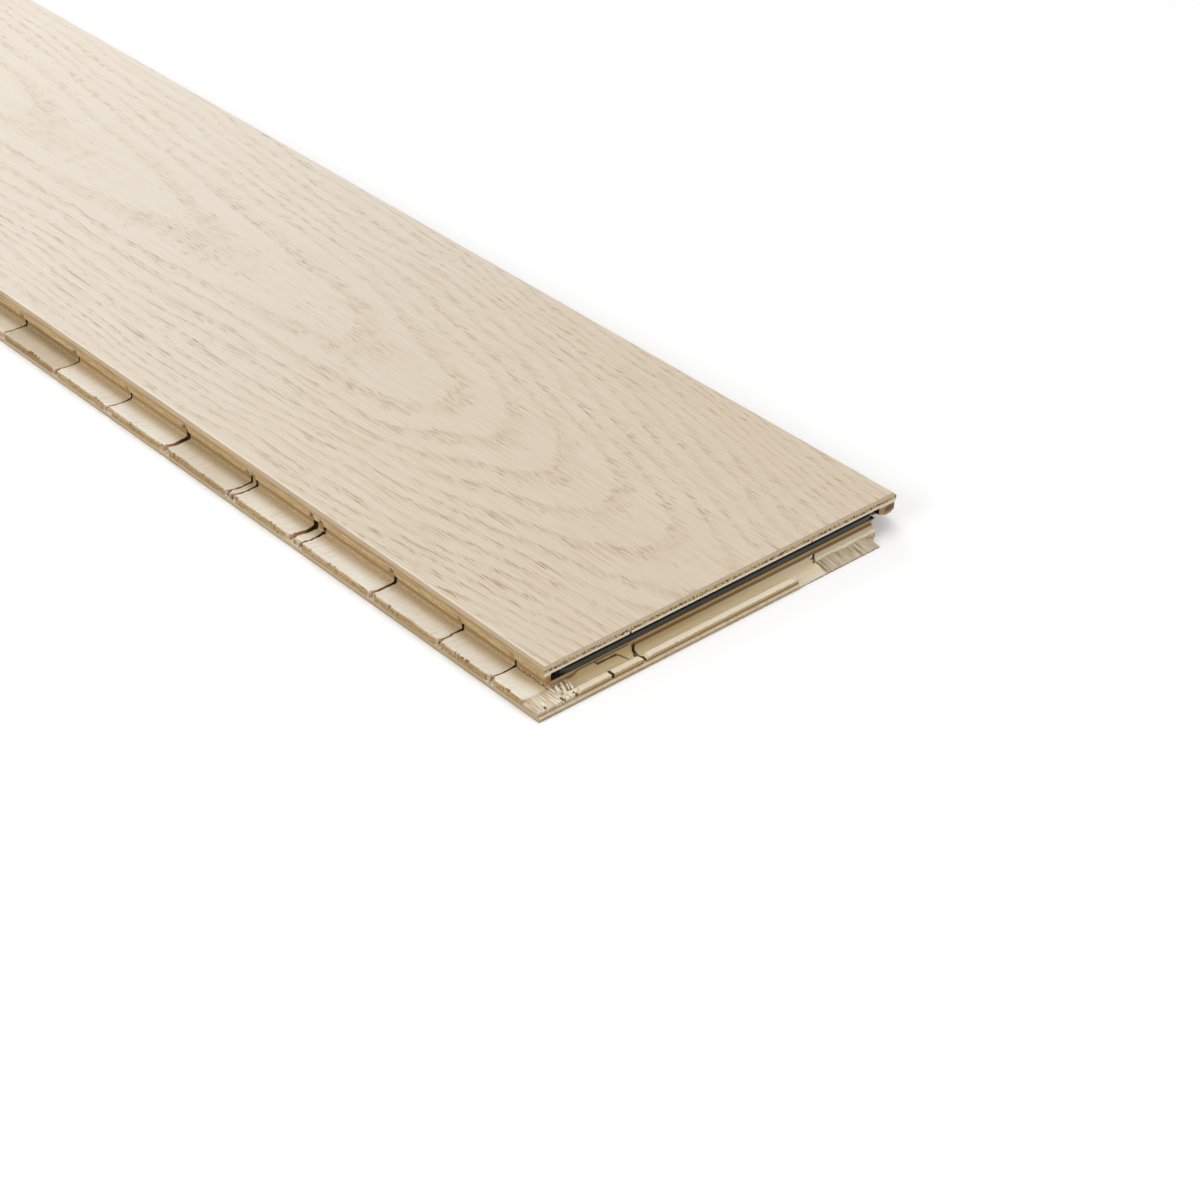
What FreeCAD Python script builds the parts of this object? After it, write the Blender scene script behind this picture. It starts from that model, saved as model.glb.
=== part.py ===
import FreeCAD, Part
import os
import Sketcher

# A wide plank floorboard with a three-layer build, lying flat with its face up.
# X runs along the board, +X to the end that carries the locking tongue and the end lip.
# Y runs across it, -Y to the groove edge with its long lip, +Y to the tongue edge.
# The origin is on the underside, under the middle of the laid face.
# The layers are glued up as blanks and the edge profiles are milled through all of them,
# so every piece is the part of its blank that lies inside the milled envelope.

VECTOR = FreeCAD.Vector

SIZES = [
    ("face_length", 1900.0, "laid length, from top edge to top edge"),
    ("face_width", 190.0, "laid width, from top edge to top edge"),
    ("board_thick", 14.0, "whole thickness"),
    ("wear_thick", 2.5, "oak wear layer"),
    ("back_thick", 2.0, "back veneer"),
    ("edge_bevel", 1.0, "bevel round the face"),
    ("fit_gap", 0.15, "play between the faces that slide on each other"),
    ("set_back_gap", 0.5, "play in front of a lip"),
    ("long_lip", 10.5, "reach of the long lip beyond the top edge"),
    ("long_lip_top", 4.8, "height of the rim of the long lip"),
    ("long_lip_round", 0.4, "corner of the rim of the long lip"),
    ("long_hollow", 3.9, "height of the long lip at its lowest"),
    ("groove_top", 9.1, "height of the underside of the upper lip"),
    ("groove_floor", 4.1, "height of the floor deep in the groove"),
    ("groove_depth", 2.2, "depth of the groove behind the top edge"),
    ("groove_round", 0.4, "corners at the bottom of the groove"),
    ("tongue_reach", 1.8, "reach of the long tongue beyond the top edge"),
    ("tongue_set_back", 3.4, "play under the tongue, in front of the next board's lip"),
    ("tongue_nose", 0.9, "rounding of the long tongue"),
    ("end_lip", 9.5, "reach of the back veneer beyond the end's top edge"),
    ("end_ridge_out", 8.5, "outer face of the end ridge"),
    ("end_ridge_in", 5.7, "inner edge of the top of the end ridge"),
    ("end_ridge_top", 3.9, "height of the end ridge"),
    ("end_ridge_round", 0.25, "corner of the end ridge"),
    ("end_hollow", 2.6, "height of the end lip at the foot of the ridge"),
    ("end_hollow_out", 4.5, "distance of that foot from the top edge"),
    ("end_wall_foot", 5.0, "height where the end lip leaves the wall"),
    ("end_ledge", 1.35, "height of the ledge in front of the end ridge"),
    ("slot_floor", 6.7, "height of the floor of the end slot"),
    ("slot_top", 10.4, "height of the roof of the end slot"),
    ("slot_depth", 9.0, "depth of the end slot"),
    ("slot_start", 3.2, "start of the end slot from the groove edge"),
    ("slot_stop", 9.6, "end of the end slot from the tongue edge"),
    ("catch_depth", 1.6, "depth of the catch groove at the far end"),
    ("strip_thick", 2.2, "thickness of the locking tongue"),
    ("strip_inset", 0.3, "front of the locking tongue behind the top edge"),
    ("strip_depth", 8.0, "depth of the locking tongue"),
    ("strip_start", 7.0, "start of the locking tongue from the groove edge"),
    ("strip_stop", 10.6, "end of the locking tongue from the tongue edge"),
    ("strip_corner", 6.0, "length of the curve at each end of the locking tongue"),
    ("slat_gap", 0.5, "usual gap between core slats"),
    ("end_joint_one", 42.6, "first butt joint in the end row, from the groove edge"),
    ("end_joint_one_gap", 0.9, "gap in the first butt joint"),
    ("end_joint_two", 140.5, "second butt joint in the end row, from the groove edge"),
    ("end_joint_two_gap", 0.6, "gap in the second butt joint"),
    ("bare_start", 125.7, "start of the stretch with no ridge, from the groove edge"),
    ("bare_height", 2.8, "height left on that stretch"),
    ("corner_floor", 3.6, "height of the torn corner by the groove edge"),
    ("broken_edge", 0.6, "height left at the outer edge where the end lip is broken"),
    ("break_out", 2.5, "edge of the broken end lip beyond the top edge"),
    ("nub_cut", 4.0, "length over which the tongue is broken off at the near end"),
    ("slit_place", 26.5, "slit in the end ridge, from the groove edge"),
    ("slit_width", 0.6, "width of that slit"),
    # back edge of each measured slat and the gap behind it, from the near end inwards
    ("slat_01_back", 17.6, "end row"),
    ("slat_02_back", 47.3, "second row"),
    ("slat_03_back", 86.7, "third row"),
    ("slat_03_gap", 1.0, "gap behind the third row"),
    ("slat_04_back", 130.4, "fourth row"),
    ("slat_05_back", 135.6, "narrow fifth row"),
    ("slat_05_gap", 1.9, "gap behind the fifth row"),
    ("slat_06_back", 174.0, "sixth row"),
    ("slat_07_back", 177.7, "narrow seventh row"),
    ("slat_08_back", 219.7, "eighth row"),
    ("slat_08_gap", 1.9, "gap behind the eighth row"),
    ("slat_09_back", 261.0, "ninth row"),
    ("slat_10_back", 299.6, "tenth row"),
    ("slat_11_back", 340.2, "eleventh row"),
    ("slat_pitch", 41.0, "pitch aimed at for the other rows"),
]

doc = FreeCAD.newDocument("floorboard")
sheet = doc.addObject("Spreadsheet::Sheet", "Sizes")


class Size:
    """A length that keeps its number and the sheet expression that drives it."""

    def __init__(self, number, text):
        self.number = number
        self.text = text

    def join(self, other, sign, number):
        return Size(number, "(" + self.text + sign + as_size(other).text + ")")

    def __add__(self, other):
        return self.join(other, " + ", self.number + as_size(other).number)

    def __sub__(self, other):
        return self.join(other, " - ", self.number - as_size(other).number)

    def __mul__(self, other):
        return self.join(other, " * ", self.number * as_size(other).number)

    def __truediv__(self, other):
        return self.join(other, " / ", self.number / as_size(other).number)

    def __neg__(self):
        return Size(-self.number, "(0 - " + self.text + ")")


def as_size(value):
    if isinstance(value, Size):
        return value
    return Size(float(value), repr(float(value)))


size = {}
for row, (alias, number, note) in enumerate(SIZES, start=1):
    sheet.set("A%d" % row, note)
    sheet.set("B%d" % row, repr(number))
    sheet.setAlias("B%d" % row, alias)
    size[alias] = Size(number, "Sizes." + alias)
doc.recompute()

face_length = size["face_length"]
face_width = size["face_width"]
thick = size["board_thick"]
bevel = size["edge_bevel"]
fit_gap = size["fit_gap"]
play = size["set_back_gap"]
long_lip = size["long_lip"]
end_lip = size["end_lip"]

near = face_length / 2
far = -near
groove_edge = -(face_width / 2)
tongue_edge = face_width / 2
core_top = thick - size["wear_thick"]
core_floor = size["back_thick"]
# the wall under the tongue, which leaves room for the next board's lip
under_wall = tongue_edge - long_lip - size["tongue_set_back"]

# every profile is drawn from a datum this far outside the board
DATUM = 5.0
low_x = far - DATUM
low_y = groove_edge - long_lip - DATUM
low_z = as_size(-DATUM)
reach_x = face_length + end_lip + 2 * DATUM
reach_y = face_width + long_lip + size["tongue_reach"] + 2 * DATUM


def bind(thing, prop, value):
    """Tie a property of a document object to its expression."""
    thing.setExpression(prop, as_size(value).text)


def place(thing, x, y, z):
    """Tie the position of a document object to its expressions."""
    bind(thing, "Placement.Base.x", x)
    bind(thing, "Placement.Base.y", y)
    bind(thing, "Placement.Base.z", z)


def prism(name, points, rotation, start, across, up, direction, length):
    """Extrude a closed outline; its points are pairs of board coordinates.

    start is the position of the sketch's datum, across and up the board coordinates
    of that datum in the two directions of the outline.
    """
    sketch = doc.addObject("Sketcher::SketchObject", name + "_outline")
    sketch.Placement = FreeCAD.Placement(VECTOR(0, 0, 0), rotation)
    place(sketch, *start)
    local = [(as_size(a) - across, as_size(b) - up) for a, b in points]
    corners = [VECTOR(a.number, b.number, 0) for a, b in local]
    for index, corner in enumerate(corners):
        following = corners[(index + 1) % len(corners)]
        sketch.addGeometry(Part.LineSegment(corner, following), False)
    for index, (a, b) in enumerate(local):
        following = (index + 1) % len(local)
        sketch.addConstraint(Sketcher.Constraint("Coincident", index, 2, following, 1))
        along = sketch.addConstraint(Sketcher.Constraint("DistanceX", -1, 1, index, 1, a.number))
        above = sketch.addConstraint(Sketcher.Constraint("DistanceY", -1, 1, index, 1, b.number))
        bind(sketch, "Constraints[%d]" % along, a)
        bind(sketch, "Constraints[%d]" % above, b)
    solid = doc.addObject("Part::Extrusion", name)
    solid.Base = sketch
    solid.DirMode = "Custom"
    solid.Dir = direction
    solid.Solid = True
    bind(solid, "LengthFwd", length)
    return solid


def prism_along(name, points, start_x, length):
    """A profile of Y and Z run along the board from start_x."""
    turn = FreeCAD.Rotation(VECTOR(1, 1, 1), 120)
    start = (start_x, low_y, low_z)
    return prism(name, points, turn, start, low_y, low_z, VECTOR(1, 0, 0), length)


def prism_across(name, points, start_y, length):
    """A profile of X and Z run across the board from start_y."""
    turn = FreeCAD.Rotation(VECTOR(1, 0, 0), 90)
    start = (low_x, start_y, low_z)
    return prism(name, points, turn, start, low_x, low_z, VECTOR(0, 1, 0), length)


def prism_up(name, points, floor, height):
    """A plan outline of X and Y run upwards."""
    turn = FreeCAD.Rotation(VECTOR(0, 0, 1), 0)
    start = (low_x, low_y, floor)
    return prism(name, points, turn, start, low_x, low_y, VECTOR(0, 0, 1), height)


def block(name, x, y, z):
    """A box between pairs of board coordinates."""
    box = doc.addObject("Part::Box", name)
    bind(box, "Length", x[1] - x[0])
    bind(box, "Width", y[1] - y[0])
    bind(box, "Height", z[1] - z[0])
    place(box, x[0], y[0], z[0])
    return box


def cut(name, base, tool):
    result = doc.addObject("Part::Cut", name)
    result.Base = base
    result.Tool = tool
    return result


def fuse(name, base, tool):
    result = doc.addObject("Part::Fuse", name)
    result.Base = base
    result.Tool = tool
    result.Refine = True
    return result


def long_profile():
    """Section across the board: tongue on +Y, groove and long lip on -Y."""
    lip_top = size["long_lip_top"]
    lip_round = size["long_lip_round"]
    hollow = size["long_hollow"]
    depth = size["groove_depth"]
    corner = size["groove_round"]
    roof = size["groove_top"]
    floor = size["groove_floor"]
    reach = size["tongue_reach"]
    nose = size["tongue_nose"]
    tongue_top = roof - fit_gap
    tongue_under = floor + fit_gap
    rise = lip_top - hollow
    # the lip's surface as fractions of its reach, and of its rise above the hollow
    lip_curve = [(0.88, 0.86), (0.74, 0.48), (0.58, 0.16), (0.40, 0.0), (0.20, 0.04), (0.0, 0.14)]
    points = [
        (groove_edge + bevel, thick),
        (tongue_edge - bevel, thick),
        (tongue_edge, thick - bevel),
        (tongue_edge, tongue_top),
        (tongue_edge + reach - nose, tongue_top),
        (tongue_edge + reach - nose * 0.3, tongue_top - nose * 0.3),
        (tongue_edge + reach, tongue_top - nose),
        (tongue_edge + reach, tongue_under + nose),
        (tongue_edge + reach - nose * 0.3, tongue_under + nose * 0.3),
        (tongue_edge + reach - nose, tongue_under),
    ]
    # the underside of the tongue follows the lip of the next board
    for out, height in reversed(lip_curve):
        points.append((tongue_edge - long_lip * out, hollow + rise * height + fit_gap))
    points += [
        (under_wall, lip_top + fit_gap),
        (under_wall, as_size(0.0)),
        (groove_edge - long_lip, as_size(0.0)),
        (groove_edge - long_lip, lip_top - lip_round),
        (groove_edge - long_lip + lip_round, lip_top),
    ]
    for out, height in lip_curve:
        points.append((groove_edge - long_lip * out, hollow + rise * height))
    points += [
        (groove_edge + depth - corner, floor),
        (groove_edge + depth, floor + corner),
        (groove_edge + depth, roof - corner),
        (groove_edge + depth - corner, roof),
        (groove_edge, roof),
        (groove_edge, thick - bevel),
    ]
    return points


def end_profile():
    """Section along the board: end lip on +X, catch and hook on -X."""
    slot_top = size["slot_top"]
    slot_floor = size["slot_floor"]
    ledge = size["end_ledge"]
    foot = size["end_wall_foot"]
    hollow = size["end_hollow"]
    hollow_out = size["end_hollow_out"]
    ridge_in = size["end_ridge_in"]
    ridge_out = size["end_ridge_out"]
    ridge_top = size["end_ridge_top"]
    ridge_round = size["end_ridge_round"]
    sink = foot - hollow
    # the hollow of the end lip as fractions of its run, and of its fall from the wall
    hollow_curve = [(0.16, 0.70), (0.42, 0.36), (0.70, 0.11)]
    points = [
        (far + bevel, thick),
        (near - bevel, thick),
        (near, thick - bevel),
        (near, foot),
    ]
    for out, height in hollow_curve:
        points.append((near + hollow_out * out, hollow + sink * height))
    points += [
        (near + hollow_out, hollow),
        (near + ridge_in, ridge_top),
        (near + ridge_out - ridge_round, ridge_top),
        (near + ridge_out, ridge_top - ridge_round),
        (near + ridge_out, ledge),
        (near + end_lip, ledge),
        (near + end_lip, as_size(0.0)),
        # the far end hangs over the end lip of the next board
        (far + end_lip + play, as_size(0.0)),
        (far + end_lip + play, core_floor + fit_gap),
        (far + ridge_out + fit_gap, core_floor + fit_gap),
        (far + ridge_out + fit_gap, ridge_top + fit_gap),
        (far + ridge_in - fit_gap, ridge_top + fit_gap),
        (far + hollow_out - fit_gap, hollow + fit_gap),
    ]
    for out, height in reversed(hollow_curve):
        points.append((far + hollow_out * out, hollow + sink * height + fit_gap))
    points += [
        (far + fit_gap, foot + fit_gap),
        (far + fit_gap, slot_floor - fit_gap),
        (far + size["catch_depth"], slot_floor),
        (far + size["catch_depth"], slot_top - fit_gap * 2),
        (far, slot_top),
        (far, thick - bevel),
    ]
    return points


milled_long = prism_along("milled_along", long_profile(), low_x, reach_x)
milled_ends = prism_across("milled_across", end_profile(), low_y, reach_y)
milled = doc.addObject("Part::MultiCommon", "milled_both_ways")
milled.Shapes = [milled_long, milled_ends]

# the end slot stops short of the tongue edge, and the long lip short of the hook end
end_slot = block(
    "end_slot",
    (near - size["slot_depth"], near + DATUM),
    (groove_edge + size["slot_start"], tongue_edge - size["slot_stop"]),
    (size["slot_floor"], size["slot_top"]))
lip_stop = block(
    "lip_stop",
    (low_x, far + end_lip + play),
    (low_y, groove_edge),
    (low_z, size["groove_top"]))
envelope = cut("milled_envelope", cut("milled_with_slot", milled, end_slot), lip_stop)

pieces = []


def piece(label, blank):
    """The part of a blank that the milling leaves."""
    result = doc.addObject("Part::Common", label)
    result.Base = envelope
    result.Tool = blank
    result.Label = label
    pieces.append(result)
    return result


def broken_piece(label, blank, tools, kept=None):
    """A milled blank with bits broken away from it, and a bit that the milling of the end left."""
    result = doc.addObject("Part::Common", label + "_milled")
    result.Base = envelope
    result.Tool = blank
    for index, tool in enumerate(tools):
        result = cut("%s_break_%d" % (label, index + 1), result, tool)
    if kept:
        result = fuse(label + "_with_corner", result, kept)
    result.Label = label
    pieces.append(result)
    return result


whole_x = (low_x, low_x + reach_x)
whole_y = (low_y, low_y + reach_y)
core_z = (core_floor, core_top)

piece("oak_wear_layer", block("oak_blank", whole_x, whole_y, (core_top, thick)))


def from_edge(distance):
    """Y at a distance from the groove edge of the face."""
    return groove_edge + distance


def outline(pairs):
    """Plan points from pairs of reach beyond the near end and distance from the groove edge."""
    return [(near + as_size(out), from_edge(as_size(over))) for out, over in pairs]


# the end row of the core: three lengths butted together, with the damage to their lip
beyond = end_lip + 2
corner_break = prism_up(
    "corner_break",
    outline([
        (0.2, -long_lip - 2), (-0.2, -8.0), (-0.5, -4.0), (-0.9, 0.5),
        (-1.1, 2.5), (0.2, 3.6), (0.5, 5.8), (1.4, 7.2),
        (3.2, 8.2), (5.2, 9.6), (6.0, 10.6), (beyond, 11.2),
        (beyond, -long_lip - 2),
    ]),
    size["corner_floor"], size["slot_floor"] - size["corner_floor"])
# the end hollow stops in a tear short of this corner, which keeps the height of the long lip
ridge_out = size["end_ridge_out"]
corner_stock = prism_up(
    "corner_stock",
    outline([
        (-1.4, -long_lip - 2), (-1.4, 2.4), (0.3, 4.2), (2.2, 4.8), (3.4, 6.4), (4.8, 7.2), (5.6, 8.8),
        (ridge_out, 9.4), (ridge_out, -long_lip - 2),
    ]),
    core_floor, size["corner_floor"] - core_floor)
kept_corner = doc.addObject("Part::Common", "kept_corner")
kept_corner.Base = milled_long
kept_corner.Tool = corner_stock
slit_side = size["slit_place"] + size["slit_width"]
ridge_slit = block(
    "ridge_slit",
    (near + size["end_hollow_out"], near + beyond),
    (from_edge(size["slit_place"]), from_edge(slit_side)),
    (core_floor + fit_gap, thick))
joint_two = size["end_joint_two"]
break_foot = near + size["end_hollow_out"]


def broken_slope(name, start, begin, end):
    """A cutter whose slope falls from a start of X and Z to the outer edge of the lip."""
    points = [
        start, (near + end_lip, size["broken_edge"]), (near + beyond, size["broken_edge"]),
        (near + beyond, thick), (start[0], thick),
    ]
    return prism_across(name, points, from_edge(begin), end - begin)


bare_stretch = broken_slope(
    "bare_stretch", (break_foot, size["bare_height"]), size["bare_start"], joint_two)
break_out = size["break_out"]
run = face_width - joint_two
broken_lip = prism_up(
    "broken_lip",
    outline([
        (break_out + 0.3, joint_two - 1), (break_out - 0.3, joint_two + run * 0.18),
        (break_out + 0.5, joint_two + run * 0.36), (break_out, joint_two + run * 0.52),
        (break_out + 0.4, joint_two + run * 0.67), (break_out - 0.2, face_width + 1),
        (beyond, face_width + 1), (beyond, joint_two - 1),
    ]),
    core_floor - 1, thick)

# at the corner by the tongue edge, the tongue and the back veneer are broken too
nub = tongue_edge - 0.6
slot_end = tongue_edge - size["slot_stop"]
broken_tongue = prism_along(
    "broken_tongue",
    [
        (nub, size["slot_top"]), (nub, 6.8), (nub - 1.9, 5.7), (nub - 4.6, 5.5), (nub - 7.4, 6.5),
        (slot_end - 0.5, 7.4), (under_wall, 5.9), (under_wall, low_z),
        (tongue_edge + DATUM, low_z), (tongue_edge + DATUM, size["slot_top"]),
    ],
    near - size["nub_cut"], size["nub_cut"] + DATUM)
wall_over = face_width - long_lip - size["tongue_set_back"]
veneer_break = prism_up(
    "veneer_break",
    outline([
        (break_out, wall_over + 1), (break_out + 0.2, wall_over - 0.3), (break_out + 1.4, wall_over - 2.7),
        (break_out + 3.9, wall_over - 4.7), (end_lip - 0.6, wall_over - 4.4), (beyond, wall_over - 4.2),
        (beyond, wall_over + 1),
    ]),
    low_z, thick)
veneer_blank = block("veneer_blank", whole_x, whole_y, (as_size(0.0), core_floor))
veneer_slope = broken_slope("veneer_slope", (near + break_out + 0.5, core_floor), joint_two, face_width)
broken_piece("back_veneer", veneer_blank, [veneer_break, bare_stretch, veneer_slope])

end_row_x = (near - size["slat_01_back"], near + beyond)
joint_one = size["end_joint_one"]
end_row = [
    ("core_end_slat_left", (low_y, from_edge(joint_one)), [corner_break, ridge_slit], kept_corner),
    ("core_end_slat_middle",
     (from_edge(joint_one + size["end_joint_one_gap"]), from_edge(joint_two)), [bare_stretch], None),
    ("core_end_slat_right",
     (from_edge(joint_two + size["end_joint_two_gap"]), low_y + reach_y), [broken_lip, broken_tongue], None),
]
for label, span_y, tools, kept in end_row:
    blank = block(label + "_blank", end_row_x, span_y, core_z)
    broken_piece(label, blank, tools, kept)

# the rows measured behind it, each from the gap behind the row in front
front = size["slat_01_back"] + size["slat_gap"]
slat_number = 1
while "slat_%02d_back" % (slat_number + 1) in size:
    slat_number += 1
    key = "slat_%02d" % slat_number
    back = size[key + "_back"]
    blank = block("core_" + key + "_blank", (near - back, near - front), whole_y, core_z)
    piece("core_" + key, blank)
    front = back + size.get(key + "_gap", size["slat_gap"])

# the rest of the core in equal rows up to the far end
remaining = face_length - front
row_count = max(1, round(remaining.number / size["slat_pitch"].number))
row_pitch = (remaining + size["slat_gap"]) / row_count
for row in range(row_count):
    slat_number += 1
    row_front = front + row_pitch * row
    row_back = row_front + row_pitch - size["slat_gap"]
    key = "core_slat_%02d" % slat_number
    blank = block(key + "_blank", (near - row_back, near - row_front), whole_y, core_z)
    piece(key, blank)

# the locking tongue lies in the end slot, its ends curved back from the front
strip_front = near - size["strip_inset"]
strip_back = strip_front - size["strip_depth"]
strip_low = from_edge(size["strip_start"])
strip_high = tongue_edge - size["strip_stop"]
curve = size["strip_corner"]
strip_curve = [(1.0, 0.0), (0.55, 0.1), (0.2, 0.35), (0.04, 0.68), (0.0, 1.0)]
strip_points = [(strip_back, strip_low)]
for inward, along in strip_curve:
    strip_points.append((strip_front - curve * inward, strip_low + curve * along))
for inward, along in reversed(strip_curve):
    strip_points.append((strip_front - curve * inward, strip_high - curve * along))
strip_points.append((strip_back, strip_high))
strip = prism_up("locking_tongue", strip_points, size["slot_floor"], size["strip_thick"])
strip.Label = "locking_tongue"
pieces.append(strip)

doc.recompute()

for thing in doc.Objects:
    if "Invalid" in thing.State or "Error" in thing.State:
        raise RuntimeError("object in error: " + thing.Label)
for thing in pieces:
    if thing.Shape.isNull() or not thing.Shape.isValid():
        raise RuntimeError("bad shape: " + thing.Label)
    if len(thing.Shape.Solids) != 1:
        raise RuntimeError("not one solid: " + thing.Label)

os.makedirs("parts", exist_ok=True)
for thing in pieces:
    thing.Shape.exportStep(os.path.join("parts", thing.Label + ".step"))
print(len(pieces), "pieces written")
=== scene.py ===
import math
import random

import bmesh
import bpy
from mathutils import Matrix, Vector, noise


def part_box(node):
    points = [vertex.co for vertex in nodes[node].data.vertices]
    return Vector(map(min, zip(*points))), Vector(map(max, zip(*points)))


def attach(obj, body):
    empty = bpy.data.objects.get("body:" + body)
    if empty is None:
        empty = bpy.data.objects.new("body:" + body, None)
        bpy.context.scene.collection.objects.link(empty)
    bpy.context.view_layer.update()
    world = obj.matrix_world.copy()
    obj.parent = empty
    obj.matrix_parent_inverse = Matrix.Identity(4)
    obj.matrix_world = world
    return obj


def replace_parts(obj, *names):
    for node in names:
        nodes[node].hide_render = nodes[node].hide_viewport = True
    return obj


# A wide plank floorboard: whitewashed oak on a core of softwood slats, with a back veneer.
# X runs along the board to its lip end, Y across it to its tongue edge, Z up. The frame is in metres.
# Wear and materials are worked out in millimetres: "out" counts from the near end of the laid face,
# "across" and v from its groove edge.

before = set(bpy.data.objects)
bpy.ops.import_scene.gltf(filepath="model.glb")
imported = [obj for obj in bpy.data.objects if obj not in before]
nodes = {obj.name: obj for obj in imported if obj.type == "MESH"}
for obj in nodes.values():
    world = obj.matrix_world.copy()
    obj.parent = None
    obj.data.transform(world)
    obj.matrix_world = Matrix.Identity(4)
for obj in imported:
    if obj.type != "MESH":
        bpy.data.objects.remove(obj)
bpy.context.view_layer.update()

MM = 0.001
PER_METRE = 1000.0
X_AXIS, Y_AXIS, Z_AXIS = 0, 1, 2
HALF_LENGTH = 0.950
THICK = 0.014

# millimetres from here to the splinters; the laid face ends at NEAR and starts at GROOVE
NEAR = 950.0
GROOVE = -95.0
LONG_LIP = 10.5
GROOVE_ROOF = 9.1
GROOVE_DEPTH = 2.2
CORE_FLOOR = 2.0
CORE_TOP = 11.5

# across the board: where the end ridge stops at a torn stretch, and where the veneer's heartwood starts
RIDGE_STOP = 124.0
HEARTWOOD = 140.0

# the wall under the end slot; on the left length of the end row its foot lies higher
WALL_TOP = 6.6
WALL_HEIGHT = 2.0
FOOT_LIFT = 1.6

# flame figure of the oak: depth of the pith, ring width, and where the tips get further apart
PITH_DEPTH = 117.0
RING_WIDTH = 3.0
FIRST_TURN = -175.0
SECOND_TURN = -247.0
TIP_PITCHES = (33.6, 72.0, 140.0)
# layers of pores in the oak: length, width, shift of the pattern, and whether only near the groove edge
PORE_LAYERS = ((18.0, 0.45, 0.0, False), (10.0, 0.45, 31.7, False), (42.0, 0.5, 57.3, True))

# gaps behind the slats that show: how far each side opens and how far the gap wavers
GAPS = {
    1: (0.20, 0.15), 2: (0.28, 0.90), 3: (0.22, 0.30), 4: (0.42, 0.45), 5: (0.30, 0.50), 6: (0.34, 0.30),
    7: (0.34, 0.30), 8: (0.25, 0.45), 9: (0.24, 0.30), 10: (0.08, 0.20), 11: (0.30, 0.40),
}
HIDDEN_GAP = (0.20, 0.40)
LAST_SHOWN = 11

# how finely slats are cut up before they are bent, where they show and further in
FINE_STEP = 0.6
COARSE_STEP = 1.7
# vertices nearer than this are one, and edges that bend by fewer radians are left out
MERGE_DISTANCE = 0.002
FLAT_ANGLE = 0.004
# vertices nearer than this to a cutting plane lie on it, and edges that bend by more degrees look sharp
ON_PLANE = 0.001
SHARP_ANGLE = 32.0

# slats that show, with how far their colour leans from cream to grey brown
SLAT_TONES = {
    "core_end_slat_left": 0.05,
    "core_end_slat_middle": 0.12,
    "core_end_slat_right": 0.35,
    "core_slat_02": 0.22,
    "core_slat_03": 0.20,
    "core_slat_04": 0.02,
    "core_slat_05": 0.15,
    "core_slat_06": 0.08,
    "core_slat_07": 0.30,
    "core_slat_08": 0.38,
    "core_slat_09": 0.02,
    "core_slat_10": 0.06,
    "core_slat_11": 0.70,
}
# the other slats: their palest tone, how far tones spread, and steps by which seeds and tones go round
PALEST_TONE = 0.12
TONE_SPREAD = 0.3
SEED_STEP = 0.618034
TONE_STEP = 0.381966

# butt joints of the end row: place across, and how far each bends
JOINTS = ((42.75, 1.7), (140.65, 1.5))
# stain on the veneer under those joints: place across, and how far out it reaches
STAINS = ((42.6, 7.6), (140.6, 2.4))
# the middle of the slit in the end ridge, and how far it gapes beyond its cut
SLIT = 26.8
SLIT_GAPE = 0.28
# thin cracks in the end row: half width, depth, and places as (out, across, height)
CRACKS = {
    "core_end_slat_left": [
        (0.32, 0.9, [(0.3, 24.4, 4.75), (1.03, 25.35, 4.11), (1.09, 30.44, 4.08), (1.09, 34.64, 4.08),
                     (1.45, 36.28, 3.85), (2.8, 38.4, 3.0), (4.4, 39.0, 2.6)]),
    ],
}
# chips at the two sides of the end row's lip, the near one unused: along, deep, drop
END_ROW_CHIPS = ((1.0, 1.0, 0.0), (2.6, 2.2, 1.4))
# shallow holes under the splinters of the torn corner, painted brown as the splinters' shadow: out, across,
# size
HOLES_WITH_SHADOW = ((5.4, 4.4, 0.8), (7.4, 3.0, 0.9), (7.8, 8.8, 1.0), (7.0, -5.6, 0.6))

# splinters left at the torn corner: start, end (out, across, height), width, height,
# and how pale (or brown, below 0) they are
SPLINTERS = [
    ((0.6, 2.6, 3.7), (3.9, 2.9, 3.3), 0.9, 0.8, 1.0),
    ((0.7, 5.0, 3.8), (4.9, 4.3, 3.3), 1.7, 1.1, 1.0),
    ((0.2, 6.6, 3.7), (4.2, 5.6, 3.2), 0.7, 1.2, -0.35),
    ((0.4, 7.8, 3.8), (5.4, 6.1, 3.3), 1.6, 1.5, 0.9),
    ((0.3, 8.6, 3.7), (4.6, 7.1, 3.2), 0.7, 1.5, -0.45),
    ((0.9, 9.5, 3.8), (5.0, 8.3, 3.3), 1.3, 1.3, 0.7),
    ((1.6, 10.7, 3.8), (5.6, 9.5, 3.3), 1.2, 1.0, 1.0),
    ((4.8, 2.9, 3.3), (8.1, 5.2, 3.2), 1.4, 0.6, 1.0),
    ((5.4, 6.6, 3.2), (7.9, 7.4, 3.1), 1.1, 0.5, 0.5),
    ((5.6, 10.6, 2.9), (8.4, 10.0, 2.9), 1.2, 0.9, 1.0),
    ((5.6, -4.8, 3.3), (8.4, -4.8, 3.2), 0.9, 0.7, 1.0),
    ((3.2, -9.2, 3.6), (7.8, -9.6, 3.5), 0.6, 0.6, 0.8),
    ((1.2, -8.6, 3.8), (4.4, -8.9, 3.6), 0.5, 0.5, 0.6),
    ((4.4, -7.6, 3.5), (7.9, -7.7, 3.4), 0.5, 0.4, -0.3),
    ((5.8, -1.8, 3.3), (8.3, -1.6, 3.2), 0.6, 0.4, 0.9),
    ((6.6, 0.6, 3.2), (8.4, 0.8, 3.2), 0.5, 0.4, 0.9),
]
SPLINTER_RINGS = 9
SPLINTER_SIDES = 6
SPLINTER_TONE = 0.1
SPLINTER_SEED = 0.37
# how brown the foot of each splinter is painted, as shade under it
SPLINTER_FOOT_SHADE = -0.45

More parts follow.
